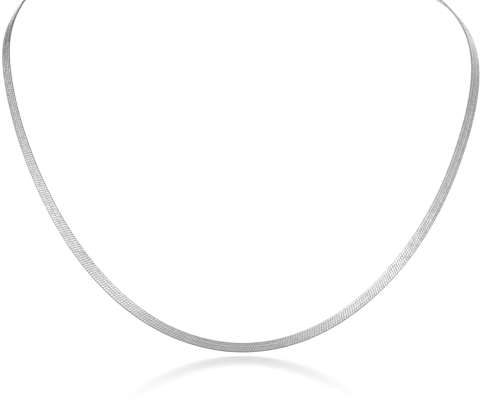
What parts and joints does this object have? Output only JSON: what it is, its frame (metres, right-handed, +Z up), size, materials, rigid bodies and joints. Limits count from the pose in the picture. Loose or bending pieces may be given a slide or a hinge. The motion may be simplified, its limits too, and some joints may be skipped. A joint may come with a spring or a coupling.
{
  "type": "herringbone neck chain",
  "caption": "Flat woven herringbone neck chain, closed with a lobster clasp at the nape and holding the form it has round a neck.",
  "frame": {"origin": "middle of the inner side of the clasp's shank, at the nape, where the chain bears on the back of the neck", "axes": "+Z up, the front of the chain towards -Y, the wearer's right and the viewer's left towards -X"},
  "size_m": [0.1357, 0.1066, 0.1172],
  "materials": {
    "silver": "polished"
  },
  "bodies": {
    "root": {"herringbone_band": "silver", "end_cap_left": "silver", "end_cap_right": "silver", "catch_ring": "silver", "clasp_ring": "silver", "clasp": "silver"}
  },
  "joints": []
}
